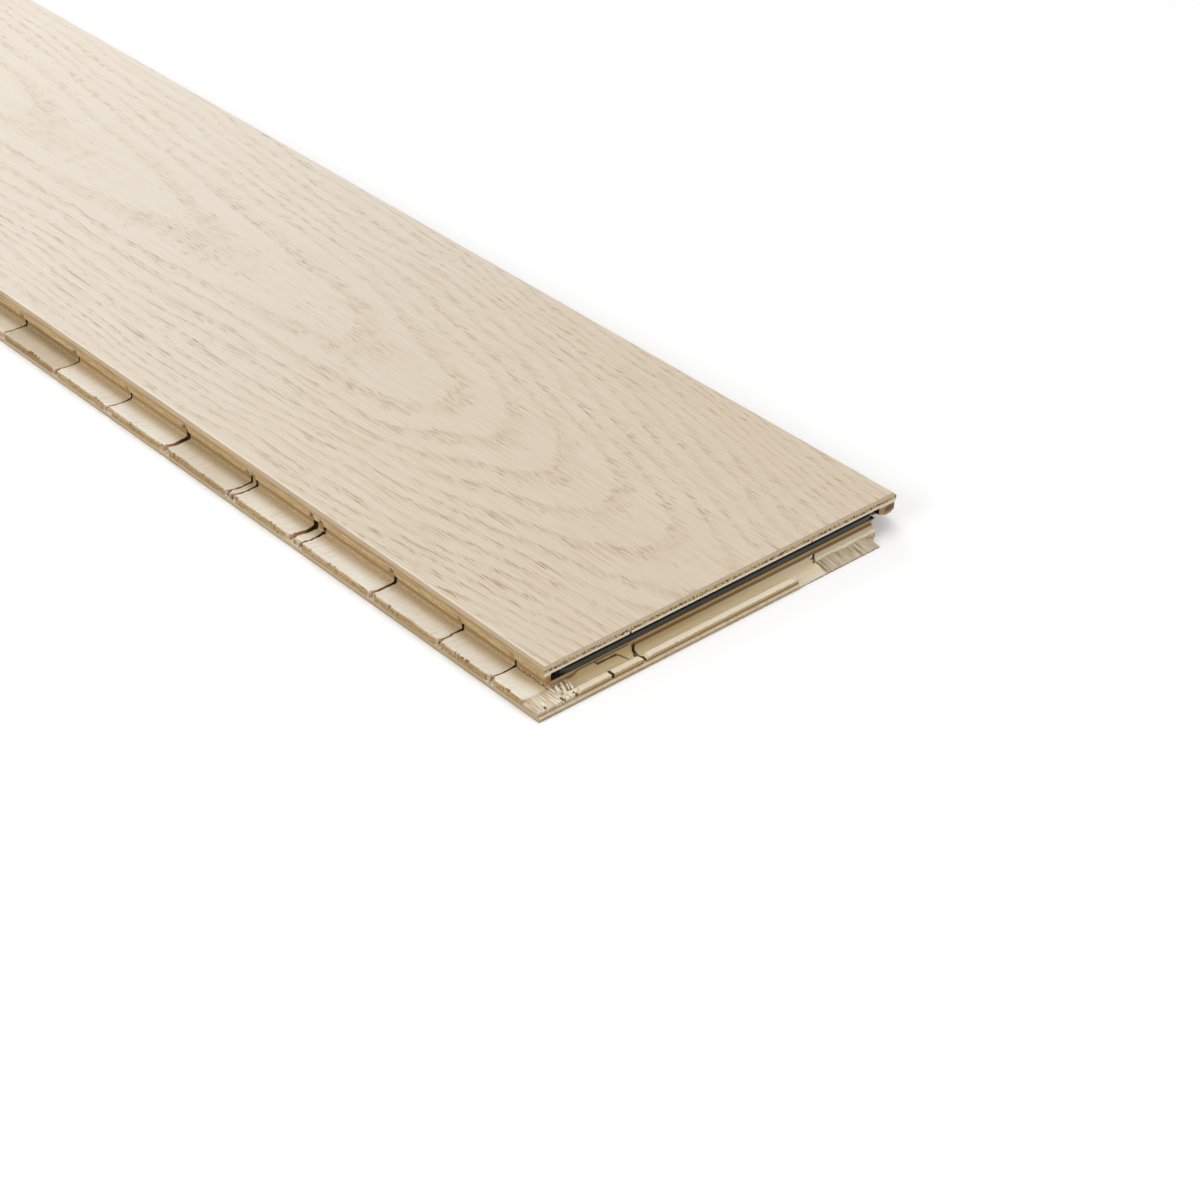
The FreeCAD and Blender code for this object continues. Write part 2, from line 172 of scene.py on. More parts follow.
# the photo's camera, solved from the edges of the face, in metres and in millimetres of film
CAMERA_PLACE = (1.52239, -0.63923, 0.59364)
CAMERA_RIGHT = Vector((0.679298, 0.732089, 0.050993))
CAMERA_DOWN = Vector((0.446949, -0.357606, -0.819972))
CAMERA_AHEAD = Vector((-0.582057, 0.579797, -0.570127))
FILM_WIDTH = 36.0
LENS = 81.42

# soft lamps: name, place, target, size in metres, watts
NEAR_END = (HALF_LENGTH - 0.2, 0.0, THICK)
LAMPS = (
    ("overhead", (HALF_LENGTH - 0.80, 0.35, 1.9), NEAR_END, 1.3, 10.5),
    ("back", (HALF_LENGTH - 1.7, 0.7, 0.7), (HALF_LENGTH - 0.6, 0.0, THICK), 0.9, 9.0),
    ("right", (HALF_LENGTH + 1.3, 0.35, 0.75), NEAR_END, 0.9, 7.5),
    ("left", (HALF_LENGTH - 0.25, -1.4, 0.65), NEAR_END, 1.0, 10.5),
)
SKY_SIDE = 0.18
SKY_TOP = 0.45
FLOOR_SIZE = 40.0
FLOOR_GLOW = 0.13
WHITE = (1.0, 1.0, 1.0, 1.0)
# rays that see the floor and the world as plain white
SEEING_RAYS = ("Is Camera Ray", "Is Glossy Ray", "Is Transmission Ray")


def colour(value):
    """A tuple of three sRGB bytes as linear light; sockets pass through."""
    if not isinstance(value, tuple):
        return value
    light = []
    for byte in value:
        c = byte / 255.0
        light.append(c / 12.92 if c <= 0.04045 else ((c + 0.055) / 1.055) ** 2.4)
    return (*light, 1.0)


class Graph:
    """Short calls for building a material's nodes."""

    def __init__(self, name):
        self.material = bpy.data.materials.new(name)
        self.material.use_nodes = True
        self.tree = self.material.node_tree
        self.tree.nodes.clear()
        self.shader = self.node("ShaderNodeBsdfPrincipled")
        output = self.node("ShaderNodeOutputMaterial")
        self.tree.links.new(self.shader.outputs["BSDF"], output.inputs["Surface"])

    def locate(self):
        """Sockets for the place on the board in millimetres and for the way the surface faces."""
        place = self.split("ShaderNodeSeparateXYZ", self.node("ShaderNodeTexCoord").outputs["Object"])
        self.x, self.y, self.z = [self.times(axis, PER_METRE) for axis in place]
        self.out = self.minus(self.x, NEAR)
        self.across = self.minus(self.y, GROOVE)
        normal = self.node("ShaderNodeNewGeometry").outputs["Normal"]
        self.nx, self.ny, self.nz = self.split("ShaderNodeSeparateXYZ", normal)

    def node(self, kind, **settings):
        """A new node with some of its settings."""
        made = self.tree.nodes.new(kind)
        for key, value in settings.items():
            setattr(made, key, value)
        return made

    def put(self, value, socket):
        """Link a socket, or set a plain value."""
        if isinstance(value, bpy.types.NodeSocket):
            self.tree.links.new(value, socket)
        else:
            socket.default_value = value

    def split(self, kind, value):
        """The outputs of a node that takes a vector or a colour apart."""
        made = self.node(kind)
        self.put(value, made.inputs[0])
        return made.outputs

    def of_object(self, name):
        """A number that the object carries."""
        return self.node("ShaderNodeAttribute", attribute_type="OBJECT", attribute_name=name).outputs["Fac"]

    def of_vertex(self, name):
        """A number that each vertex carries."""
        return self.node("ShaderNodeAttribute", attribute_name=name).outputs["Fac"]

    def math(self, operation, *values, clamp=False):
        """One Math node."""
        made = self.node("ShaderNodeMath", operation=operation, use_clamp=clamp)
        for index, value in enumerate(values):
            self.put(value, made.inputs[index])
        return made.outputs[0]

    def times(self, product, *factors):
        for factor in factors:
            product = self.math("MULTIPLY", product, factor)
        return product

    def over(self, value, length):
        return self.math("DIVIDE", value, length)

    def plus(self, a, b):
        return self.math("ADD", a, b)

    def minus(self, a, b):
        return self.math("SUBTRACT", a, b)

    def scaled(self, value, factor, added):
        return self.math("MULTIPLY_ADD", value, factor, added)

    def larger(self, a, b):
        return self.math("MAXIMUM", a, b)

    def smaller(self, a, b):
        return self.math("MINIMUM", a, b)

    def absolute(self, value):
        return self.math("ABSOLUTE", value)

    def step(self, value, low, high, start=0.0, stop=1.0):
        """Smooth change from start to stop while value goes from low to high."""
        made = self.node("ShaderNodeMapRange", interpolation_type="SMOOTHSTEP")
        for index, number in enumerate((value, low, high, start, stop)):
            self.put(number, made.inputs[index])
        return made.outputs[0]

    def fall(self, value, low, high):
        """Smooth change from 1 to 0 while value goes from low to high."""
        return self.step(value, low, high, 1.0, 0.0)

    def band(self, value, opens, closes):
        """1 between two places with soft ends, each given as a pair, and 0 elsewhere."""
        return self.times(self.step(value, *opens), self.fall(value, *closes))

    def vector(self, x, y, z):
        made = self.node("ShaderNodeCombineXYZ")
        for index, value in enumerate((x, y, z)):
            self.put(value, made.inputs[index])
        return made.outputs[0]

    def noise(self, x, y, z, detail=2.0, roughness=0.5, scale=1.0):
        """Noise at a place given as sockets or numbers."""
        made = self.node("ShaderNodeTexNoise")
        self.put(self.vector(x, y, z), made.inputs["Vector"])
        for key, value in (("Scale", scale), ("Detail", detail), ("Roughness", roughness)):
            made.inputs[key].default_value = value
        return made.outputs[0]

    def grain(self, along, across, up=None, layer=0.0, detail=2.0, roughness=0.5):
        """Noise with waves of these lengths in millimetres; without up it is one layer at every height."""
        height = layer if up is None else self.over(self.z, up)
        return self.noise(self.over(self.x, along), self.over(self.y, across), height, detail, roughness)

    def dashes(self, length, width, shift):
        """Scattered cells stretched along the board: distance to a cell's middle and two random numbers."""
        made = self.node("ShaderNodeTexVoronoi", voronoi_dimensions="2D")
        along = self.plus(self.over(self.x, length), shift)
        self.put(self.vector(along, self.over(self.y, width), 0.0), made.inputs["Vector"])
        made.inputs["Scale"].default_value = 1.0
        chance, weight = self.split("ShaderNodeSeparateColor", made.outputs["Color"])[:2]
        return made.outputs["Distance"], chance, weight

    def mix(self, share, a, b):
        """A colour between two, each a socket or a tuple of sRGB bytes."""
        made = self.node("ShaderNodeMix", data_type="RGBA", blend_type="MIX")
        self.put(share, made.inputs[0])
        self.put(colour(a), made.inputs[6])
        self.put(colour(b), made.inputs[7])
        return made.outputs[2]

    def bump(self, height, strength, distance):
        """Fine relief of the surface."""
        made = self.node("ShaderNodeBump")
        made.inputs["Strength"].default_value = strength
        made.inputs["Distance"].default_value = distance
        self.put(height, made.inputs["Height"])
        self.put(made.outputs[0], self.shader.inputs["Normal"])

    def finish(self, base, roughness, specular):
        """Set the shader and return the material."""
        self.put(base, self.shader.inputs["Base Color"])
        self.shader.inputs["Roughness"].default_value = roughness
        self.shader.inputs["Specular IOR Level"].default_value = specular
        return self.material


def early_wood(g):
    """Flame figure: growth rings cut by a plane off the pith, their tips pointing to the lip end."""
    drift = g.times(g.minus(g.grain(90.0, 26.0, detail=1.0), 0.5), 16.0)
    axis = g.scaled(g.out, -0.045, 86.0)
    offset = g.plus(g.minus(g.across, axis), drift)
    radius = g.math("SQRT", g.scaled(offset, offset, PITH_DEPTH * PITH_DEPTH))
    # the tips are close together near the end and far apart further in
    tips = g.over(g.larger(g.out, FIRST_TURN), TIP_PITCHES[0])
    further = g.larger(g.smaller(g.minus(g.out, FIRST_TURN), 0.0), SECOND_TURN - FIRST_TURN)
    tips = g.plus(tips, g.over(further, TIP_PITCHES[1]))
    tips = g.plus(tips, g.over(g.smaller(g.minus(g.out, SECOND_TURN), 0.0), TIP_PITCHES[2]))
    waver = g.grain(12.0, 0.7, layer=4.0, roughness=0.6)
    waver = g.times(g.minus(waver, 0.5), 0.5)
    count = g.scaled(g.minus(radius, PITH_DEPTH), 1.0 / RING_WIDTH, g.plus(tips, waver))
    return g.fall(g.math("FRACT", count), 0.0, 0.6)


def oak_pores(g, early, straight):
    """Thin dashes along the grain, crowded in the early wood, with long ones by the groove edge."""
    pore = 0.0
    for length, width, shift, by_groove in PORE_LAYERS:
        distance, chance, weight = g.dashes(length, width, shift)
        kept = g.step(g.scaled(early, 0.7, chance), 0.92, 1.02)
        reach = g.scaled(weight, 0.16, 0.14)
        mark = g.fall(g.over(distance, reach), 0.55, 1.0)
        mark = g.times(mark, kept, g.scaled(weight, 0.6, 0.4))
        if by_groove:
            mark = g.times(mark, straight)
        pore = g.larger(pore, mark)
    # some patches have hardly any
    patch = g.grain(70.0, 16.0, layer=5.0, detail=1.0)
    return g.times(pore, g.step(patch, 0.38, 0.6, 0.45, 1.0))


def raw_oak(g):
    """Raw edges: streaked brown sides, end grain full of open vessels, a bevel."""
    streak = g.grain(14.0, 0.4, 0.4, detail=3.0)
    side = g.mix(g.step(streak, 0.38, 0.66), (202, 175, 134), (160, 130, 88))
    vessel = g.grain(3.0, 0.9, 0.6, detail=1.0)
    end = g.mix(g.step(vessel, 0.51, 0.58), (214, 190, 150), (84, 58, 34))
    edge = g.mix(g.step(g.nx, 0.5, 0.8), side, end)
    bevel = g.mix(g.step(streak, 0.4, 0.7), (212, 190, 158), (188, 164, 132))
    bevel = g.mix(g.step(g.ny, -0.5, -0.3, 0.5, 0.0), bevel, (184, 162, 132))
    return g.mix(g.step(g.nz, 0.3, 0.5), edge, bevel)


def oak_material():
    """Whitewashed oak: a flame figure of growth rings with thin brown pores, and raw edges."""
    g = Graph("oak_whitewashed")
    g.locate()
    early = early_wood(g)
    straight = g.fall(g.across, 60.0, 105.0)
    pore = oak_pores(g, early, straight)
    fibre = g.grain(42.0, 0.8, layer=9.0, roughness=0.65)
    face = g.mix(g.grain(190.0, 50.0, layer=2.0), (218, 201, 178), (224, 210, 190))
    # a painted sheen: the face turns paler and greyer further in
    face = g.mix(g.step(g.out, -420.0, -40.0, 0.5, 0.0), face, (222, 215, 204))
    face = g.mix(g.times(early, 0.2), face, (202, 179, 142))
    lines = g.times(g.step(fibre, 0.44, 0.66), g.step(g.out, -420.0, -40.0, 0.28, 0.4))
    face = g.mix(lines, face, (198, 176, 143))
    # the pores are strongest by the groove edge
    face = g.mix(g.times(pore, g.scaled(straight, 0.1, 0.9)), face, (126, 84, 34))
    # a painted highlight along the groove edge of the face
    face = g.mix(g.step(g.across, 1.0, 3.0, 0.5, 0.0), face, (242, 232, 217))
    base = g.mix(g.step(g.nz, 0.85, 0.95), raw_oak(g), face)
    g.bump(g.minus(g.times(fibre, 0.3), g.times(pore, 0.4)), 0.25, 0.1 * MM)
    return g.finish(base, 0.5, 0.2)


def end_hollow(g):
    """Olive brown in the hollow of the end lip, pale on its ridge."""
    hollow = g.mix(g.step(g.out, 0.2, 5.2), (186, 161, 116), (230, 213, 174))
    hollow = g.mix(g.step(g.across, 70.0, 135.0, 0.0, 0.5), hollow, (240, 226, 196))
    ridge = g.times(g.step(g.z, 3.3, 3.75), g.step(g.out, 4.6, 5.4))
    return g.mix(ridge, hollow, (244, 232, 208))


def groove_wall(g, base, tone, pit):
    """The wall of the groove and the floor under its roof are painted with shade, brown above a paler foot,
    with a dark line at the foot of the end row.
    """
    # painted shade on the wall and on the floor under the roof of the groove, darkest right under the roof
    low = g.fall(g.z, GROOVE_ROOF - 0.1, GROOVE_ROOF)
    inside = g.times(g.step(g.across, -3.5, 2.0), low, g.fall(g.out, 0.0, 0.2))
    wall = g.mix(g.step(g.z, 4.1, 5.4), (224, 198, 152), (152, 118, 68))
    wall = g.mix(g.times(tone, 0.5), wall, (108, 80, 54))
    wall = g.mix(g.step(pit, 0.4, 0.7, 0.0, 0.35), wall, (112, 84, 52))
    base = g.mix(g.times(inside, 0.85), base, wall)
    foot = g.times(g.band(g.across, (1.5, 1.8), (2.3, 2.6)), low, g.fall(g.z, 4.5, 4.8))
    row = g.times(g.step(g.out, -19.0, -17.6, 0.35, 1.0), g.fall(g.out, -0.2, 0.0))
    foot = g.times(foot, row, g.step(pit, 0.40, 0.5))
    return g.mix(g.times(foot, 0.85), base, (84, 58, 34))


def sawn_ends(g, base, tone, late, pit, cut):
    """End grain on the long edges is golden, darker and rough at the rim of the lip."""
    grain = g.grain(7.0, 2.0, 0.45, roughness=0.6)
    ends = g.mix(g.step(grain, 0.4, 0.62), (216, 191, 146), (190, 159, 112))
    ends = g.mix(g.times(late, 0.25), ends, (192, 161, 114))
    ends = g.mix(g.step(pit, 0.45, 0.68, 0.0, 0.5), ends, (146, 112, 72))
    upper = g.times(cut, g.step(g.z, GROOVE_ROOF - 0.1, GROOVE_ROOF))
    base = g.mix(upper, base, ends)
    rim = g.times(g.step(g.absolute(g.ny), 0.45, 0.8), g.fall(g.across, -10.0, -8.6))
    rough = g.mix(tone, ends, (166, 134, 96))
    rough = g.mix(g.step(pit, 0.5, 0.66, 0.0, 0.7), rough, (134, 100, 62))
    return g.mix(rim, base, rough)


def gap_sides(g, base):
    """Sides of the gaps between slats, brown, with painted shade that makes them darkest at their inner
    end.
    """
    gap = g.times(g.step(g.absolute(g.nx), 0.5, 0.75), g.fall(g.across, 4.0, 6.0))
    gap = g.times(gap, g.fall(g.out, -6.0, -4.0), g.step(g.across, -9.5, -6.5, 0.4, 1.0))
    # painted shade deep in the gaps, under the roof of the groove
    depth = g.mix(g.step(g.across, -5.0, 1.5), (196, 148, 92), (62, 40, 22))
    return g.mix(g.times(gap, g.step(g.z, 8.6, 9.0, 0.92, 0.0)), base, depth)


def end_wall(g, base, fibre):
    """The wall under the end slot is brown with a dark foot, the slot painted dark as shade, the core above
    it pale.
    """
    facing = g.times(g.step(g.nx, 0.6, 0.8), g.band(g.out, (-1.2, -0.9), (0.4, 0.7)))
    facing = g.times(facing, g.larger(g.step(g.across, 2.9, 3.3), g.step(g.z, 9.0, 9.5)))
    wall = g.mix(g.step(g.scaled(fibre, 1.2, g.z), 5.7, 6.3), (128, 98, 64), (184, 154, 110))
    wall = g.mix(g.step(g.z, 9.9, 10.2), wall, (253, 245, 224))
    base = g.mix(facing, base, wall)
    # the foot lies higher on the left length of the row
    level = g.minus(g.z, g.step(g.across, 41.0, 43.0, 0.75, 0.0))
    foot = g.times(g.band(g.out, (0.0, 0.15), (0.45, 0.75)), g.fall(level, 5.4, 5.8))
    foot = g.times(foot, g.step(g.across, 3.5, 5.0))
    base = g.mix(g.times(foot, 0.65), base, (96, 68, 42))
    # painted shade inside the slot round the plastic strip
    slot = g.times(g.band(g.out, (-12.0, -10.0), (-0.3, -0.1)), g.band(g.z, (6.55, 6.65), (10.45, 10.55)))
    slot = g.times(slot, g.band(g.across, (3.6, 4.4), (180.5, 183.0)))
    base = g.mix(slot, base, (50, 36, 24))
    # front of the end ridge, with the glue line over the back veneer
    front = g.times(g.step(g.nx, 0.6, 0.8), g.step(g.out, 7.9, 8.2))
    tan = g.mix(g.step(g.z, 2.2, 2.7), (124, 94, 60), (210, 183, 140))
    return g.mix(front, base, tan)


def broken_tongue(g, base, pit):
    """The broken end of the tongue is red brown inside a tan rim."""
    place = g.vector(g.over(g.minus(g.across, 186.3), 3.2), g.over(g.minus(g.z, 8.3), 1.7), 0.0)
    span = g.node("ShaderNodeVectorMath", operation="LENGTH")
    g.put(place, span.inputs[0])
    core = g.fall(g.scaled(pit, 0.6, span.outputs["Value"]), 1.0, 1.3)
    core = g.times(core, g.step(g.across, 178.0, 179.0), g.step(g.out, -6.0, -4.5))
    red_brown = g.mix(g.step(pit, 0.4, 0.65), (96, 62, 46), (150, 112, 86))
    return g.mix(g.times(core, 0.85), base, red_brown)


def torn_wood(g, base, pit):
    """Fresh breaks are pale with streaks along the board, pinkish at the long edge; stains, and painted
    shade under the splinters, are brown.
    """
    fresh = g.of_vertex("fresh")
    tear = g.grain(8.0, 0.7, 2.0, roughness=0.6)
    streaked = g.times(g.step(tear, 0.44, 0.6), g.step(g.across, 14.0, 20.0, 1.0, 0.3))
    torn = g.mix(streaked, (253, 247, 234), (206, 180, 146))
    torn = g.mix(g.step(g.across, -9.5, -6.0, 0.55, 0.0), torn, (214, 182, 162))
    pale = g.math("MULTIPLY", fresh, 1.0, clamp=True)
    base = g.mix(g.times(pale, 0.92), base, torn)
    # below 0: brown stains, and painted shade under the splinters
    stain_and_shade = g.math("MULTIPLY", fresh, -1.0, clamp=True)
    brown = g.mix(g.step(pit, 0.4, 0.62), (66, 40, 26), (128, 88, 60))
    return g.mix(g.times(stain_and_shade, 0.92), base, brown)


def softwood_material():
    """Pale slats: cream on the lips, brown in the groove, golden on their sawn ends."""
    g = Graph("core_softwood")
    g.locate()
    tone = g.of_object("tone")
    shift = g.times(g.of_object("seed"), 37.0)
    # growth rings show on the slat's ends and run out as lines along it on the other faces
    bow = g.noise(g.over(g.x, 16.0), shift, g.over(g.z, 9.0), detail=1.0)
    rings = g.plus(g.times(g.x, 0.28), g.times(g.z, 0.5))
    rings = g.scaled(bow, 4.0, g.plus(rings, shift))
    late = g.step(g.math("FRACT", rings), 0.35, 0.95)
    fibre = g.grain(0.9, 24.0, 0.9, detail=3.0, roughness=0.6)
    cloud = g.noise(g.over(g.x, 12.0), g.over(g.y, 9.0), g.plus(g.z, shift))
    pit = g.grain(0.7, 0.7, 0.7, detail=3.0, roughness=0.7)
    cut = g.step(g.absolute(g.ny), 0.75, 0.95)
    base = g.mix(tone, (253, 248, 236), (200, 182, 152))
    base = g.mix(g.step(cloud, 0.3, 0.75, 0.0, 0.22), base, (228, 210, 172))
    # golden towards the groove, partly the wood's own colour and partly painted shade under the groove's
    # roof
    base = g.mix(g.step(g.across, -6.5, 0.5, 0.0, 0.5), base, (226, 202, 158))
    base = g.mix(g.step(g.out, -0.3, 0.1), base, end_hollow(g))
    base = g.mix(g.times(late, 0.07), base, (200, 170, 122))
    base = g.mix(g.step(fibre, 0.5, 0.75, 0.0, 0.24), base, (182, 152, 108))
    base = groove_wall(g, base, tone, pit)
    base = sawn_ends(g, base, tone, late, pit, cut)
    base = gap_sides(g, base)
    base = end_wall(g, base, fibre)
    base = broken_tongue(g, base, pit)
    base = torn_wood(g, base, pit)
    g.bump(g.plus(fibre, g.times(pit, cut)), 0.35, 0.2 * MM)
    return g.finish(base, 0.75, 0.2)


def veneer_material():
    """The back veneer: cream with tan bands along the board, grey-brown heartwood by the tongue edge."""
    g = Graph("back_veneer")
    g.locate()
    fibre = g.grain(16.0, 0.8, 0.6, detail=3.0, roughness=0.65)
    streak = g.grain(30.0, 1.0, 4.0, roughness=0.6)
    base = g.mix(g.step(g.grain(90.0, 4.0), 0.35, 0.7), (230, 217, 190), (208, 186, 148))
    base = g.mix(g.step(fibre, 0.48, 0.72, 0.0, 0.55), base, (156, 130, 96))
    # heartwood, with dark streaks
    heart = g.mix(g.step(streak, 0.34, 0.5), (224, 211, 190), (204, 187, 162))
    heart = g.mix(g.step(streak, 0.58, 0.65, 0.0, 0.85), heart, (122, 98, 74))
    heart = g.mix(g.step(fibre, 0.48, 0.72, 0.0, 0.4), heart, (152, 128, 100))
    base = g.mix(g.step(g.across, HEARTWOOD - 0.5, HEARTWOOD + 2.0), base, heart)
    # the torn stretch beside it is smooth and cream
    bare = g.band(g.across, (RIDGE_STOP + 0.5, RIDGE_STOP + 1.5), (HEARTWOOD, HEARTWOOD + 2.0))
    bare = g.times(bare, g.step(g.out, 2.0, 3.0))
    cream = g.mix(g.step(g.out, 3.0, 9.0), (226, 208, 172), (238, 226, 202))
    base = g.mix(g.times(bare, 0.8), base, cream)
    # stained at the bottom of the open joints in the end row
    for joint, stop in STAINS:
        near = g.fall(g.absolute(g.minus(g.across, joint)), 1.8, 2.6)
        near = g.times(near, g.band(g.out, (-1.0, 0.0), (stop, stop + 0.5)), g.step(g.z, 1.8, 1.9))
        base = g.mix(g.times(near, g.step(fibre, 0.4, 0.6, 0.95, 0.7)), base, (88, 56, 36))
    # the ledge in front of the end ridge is painted paler where the lamps light it; sawn edges are darker,
    # with a brown line of painted contact shade at the bottom
    lit_ledge = g.times(g.step(g.nz, 0.8, 0.95), g.step(g.out, 8.0, 8.3))
    lit_ledge = g.times(lit_ledge, g.fall(g.across, RIDGE_STOP, RIDGE_STOP + 2.0))
    base = g.mix(g.times(lit_ledge, g.step(fibre, 0.45, 0.7, 0.9, 0.3)), base, (252, 238, 212))
    cut = g.larger(g.step(g.nx, 0.7, 0.95), g.fall(g.ny, -0.95, -0.7))
    base = g.mix(g.times(cut, 0.45), base, (198, 172, 130))
    # painted contact shade along the bottom of the sawn edges
    contact_shade = g.times(cut, g.fall(g.scaled(fibre, 0.5, g.z), 0.45, 0.6))
    base = g.mix(g.times(contact_shade, 0.8), base, (104, 76, 48))
    g.bump(fibre, 0.4, 0.2 * MM)
    return g.finish(base, 0.75, 0.2)


def plastic_material():
    """Dark grey moulded plastic with a fine mottle."""
    g = Graph("locking_tongue_plastic")
    g.locate()
    grain = g.noise(g.x, g.y, g.z, detail=3.0, roughness=0.6, scale=2.2)
    base = g.mix(g.step(grain, 0.35, 0.8), (46, 49, 46), (78, 82, 76))
    g.bump(grain, 0.2, 0.1 * MM)
    return g.finish(base, 0.42, 0.45)


def dress(node, material):
    """Give a CAD node a better material."""
    data = nodes[node].data
    data.materials.clear()
    data.materials.append(material)


def hum(x, y, z=0.0):
    """Smooth noise between about -1 and 1."""
    return noise.noise(Vector((x, y, z)))


def ease(value, low, high):
    """Smooth change from 0 to 1 while value goes from low to high."""
    share = min(max((value - low) / (high - low), 0.0), 1.0)
    return share * share * (3.0 - 2.0 * share)


def solid(name):
    """A CAD node's shape in millimetres, its triangles merged into flat faces."""
    shape = bmesh.new()
    shape.from_mesh(nodes[name].data)
    bmesh.ops.scale(shape, vec=(PER_METRE, PER_METRE, PER_METRE), verts=shape.verts)
    bmesh.ops.remove_doubles(shape, verts=shape.verts, dist=MERGE_DISTANCE)
    bmesh.ops.dissolve_limit(shape, angle_limit=FLAT_ANGLE, verts=shape.verts, edges=shape.edges)
    return shape


def slice_across(shape, axis, start, stop, step):
    """Cut all faces by planes across one axis, so that they can be bent."""
    normal = Vector((0.0, 0.0, 0.0))
    normal[axis] = 1.0
    place = start
    while place < stop:
        parts = list(shape.verts) + list(shape.edges) + list(shape.faces)
        bmesh.ops.bisect_plane(shape, geom=parts, dist=ON_PLANE, plane_co=normal * place, plane_no=normal)
        place += step


def worn_piece(shape, name, tone, seed):
    """Turn a shape in millimetres into a piece of the scene."""
    bmesh.ops.triangulate(shape, faces=[face for face in shape.faces if len(face.verts) > 4])
    bmesh.ops.scale(shape, vec=(MM, MM, MM), verts=shape.verts)
    mesh = bpy.data.meshes.new("worn_" + name)
    shape.to_mesh(mesh)
    shape.free()
    mesh.materials.append(softwood)
    mesh.shade_smooth()
    mesh.set_sharp_from_angle(angle=math.radians(SHARP_ANGLE))
    made = bpy.data.objects.new("worn_" + name, mesh)
    bpy.context.scene.collection.objects.link(made)
    made["seed"] = seed
    made["tone"] = tone
    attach(made, "root")
    return made


def wear(shape, change):
    """Apply a change of place to every vertex, and keep how fresh the wood is there."""
    layer = shape.verts.layers.float.new("fresh")
    for vertex in shape.verts:
        vertex.co, vertex[layer] = change(vertex.co.copy())


def lip_wear(point, ends, gaps, chips):
    """Move a vertex of the long lip; returns its new place and how pale (or brown, below 0) it is."""
    x, y, z = point
    v = y - GROOVE
    fresh = 0.0
    if v > GROOVE_DEPTH + 1.0:
        return Vector((x, y, z)), fresh
    reach = (abs(ends[0] - x), abs(x - ends[1]))
    if z > GROOVE_ROOF - 0.05:
        # the gaps nick the edge of the upper lip, brown inside
        for distance, gap in zip(reach, gaps):
            depth = 1.0 - math.hypot(distance / 1.7, (z - GROOVE_ROOF) / 1.8)
            if gap is not None and depth > 0.0 and v < 1.5:
                depth *= max(0.0, 0.55 + hum(gap * 5.7, 2.0) + 0.8 * hum(x / 0.7, z / 0.6, 71.0))
                y += 1.7 * depth
                fresh = min(fresh, -2.0 * depth)
        return Vector((x, y, z)), fresh
    # the gaps waver and open, most at the rim and at the wall of the groove
    inside = 1.0 - ease(v, 2.4, 3.2)
    for distance, gap, side in zip(reach, gaps, (-1.0, 1.0)):
        if gap is None:
            continue
        width, waver = GAPS.get(int(gap), HIDDEN_GAP)
        hold = max(0.0, 1.0 - distance / 4.0) * inside
        opening = width * (0.7 + 1.1 * hum(v / 1.3, z / 1.5, gap * 3.1 + side))
        opening += 0.35 * ease(-v, 6.5, LONG_LIP) + width * 0.9 * ease(v, 0.6, 2.0)
        x += hold * waver * hum(v / 4.5, gap * 7.3) + side * max(opening, 0.03) * hold ** 3
    if z < CORE_FLOOR + 0.1:
        return Vector((x, y, z)), fresh
    # corners broken off at the rim beside the gaps, pale and brown in patches
    for distance, gap, (along, deep, drop) in zip(reach, gaps, chips):
        bite = 1.0 - math.hypot(distance / along, (v + LONG_LIP) / deep)
        if gap is not None and bite > 0.0:
            bite = bite ** 0.6 * (0.75 + 0.6 * hum(x / 0.9, v / 0.9, gap))
            z -= min(max(drop * bite, 0.0), z - CORE_FLOOR - 0.05)
            y += 0.9 * max(bite, 0.0)
            patch = hum(x / 1.1, v / 1.1, gap + 40.0)
            fresh = min(1.0, bite * 1.2) * (1.0 if patch > -0.12 else -1.0)
    # a ragged rim, with the odd pit, and a slightly uneven surface
    if v < 0.6 - LONG_LIP:
        y += 0.08 + 0.16 * max(0.0, hum(x / 1.7, z / 0.9, 5.0)) + 0.7 * max(0.0, hum(x / 9.0, 1.0, 8.0))
        nick = hum(x / 1.1, z / 3.0, 61.0) + 0.5 * hum(x / 13.0, 0.0, 66.0)
        if nick > 0.5:
            y += 0.35
            fresh = -0.7
    elif v < 0.5:
        z += 0.10 * hum(x / 6.0, v / 3.0, 9.0) - 0.03
    return Vector((x, y, z)), fresh


def worn_slat(name, number, tone, seed):
    """A slat of the core with a worn, chipped lip."""
    low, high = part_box(name)
    ends = (high.x * PER_METRE, low.x * PER_METRE)
    shape = solid(name)
    step = FINE_STEP if number <= LAST_SHOWN else COARSE_STEP
    slice_across(shape, X_AXIS, ends[1] + step * 0.5, ends[0], step)
    slice_across(shape, Y_AXIS, GROOVE - LONG_LIP + 0.45, GROOVE + GROOVE_DEPTH + 1.5, step)
    slice_across(shape, Z_AXIS, CORE_FLOOR + 0.5, CORE_TOP - 0.1, step)
    dice = random.Random(number)
    chips = [(dice.uniform(0.8, 3.4), dice.uniform(0.8, 3.2), dice.uniform(0.5, 1.9)) for side in ends]
    # the last slat has no gap behind it
    gaps = (number - 1.0, float(number) if ends[1] > 1.0 - NEAR else None)
    wear(shape, lambda point: lip_wear(point, ends, gaps, chips))
    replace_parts(worn_piece(shape, name, tone, seed), name)


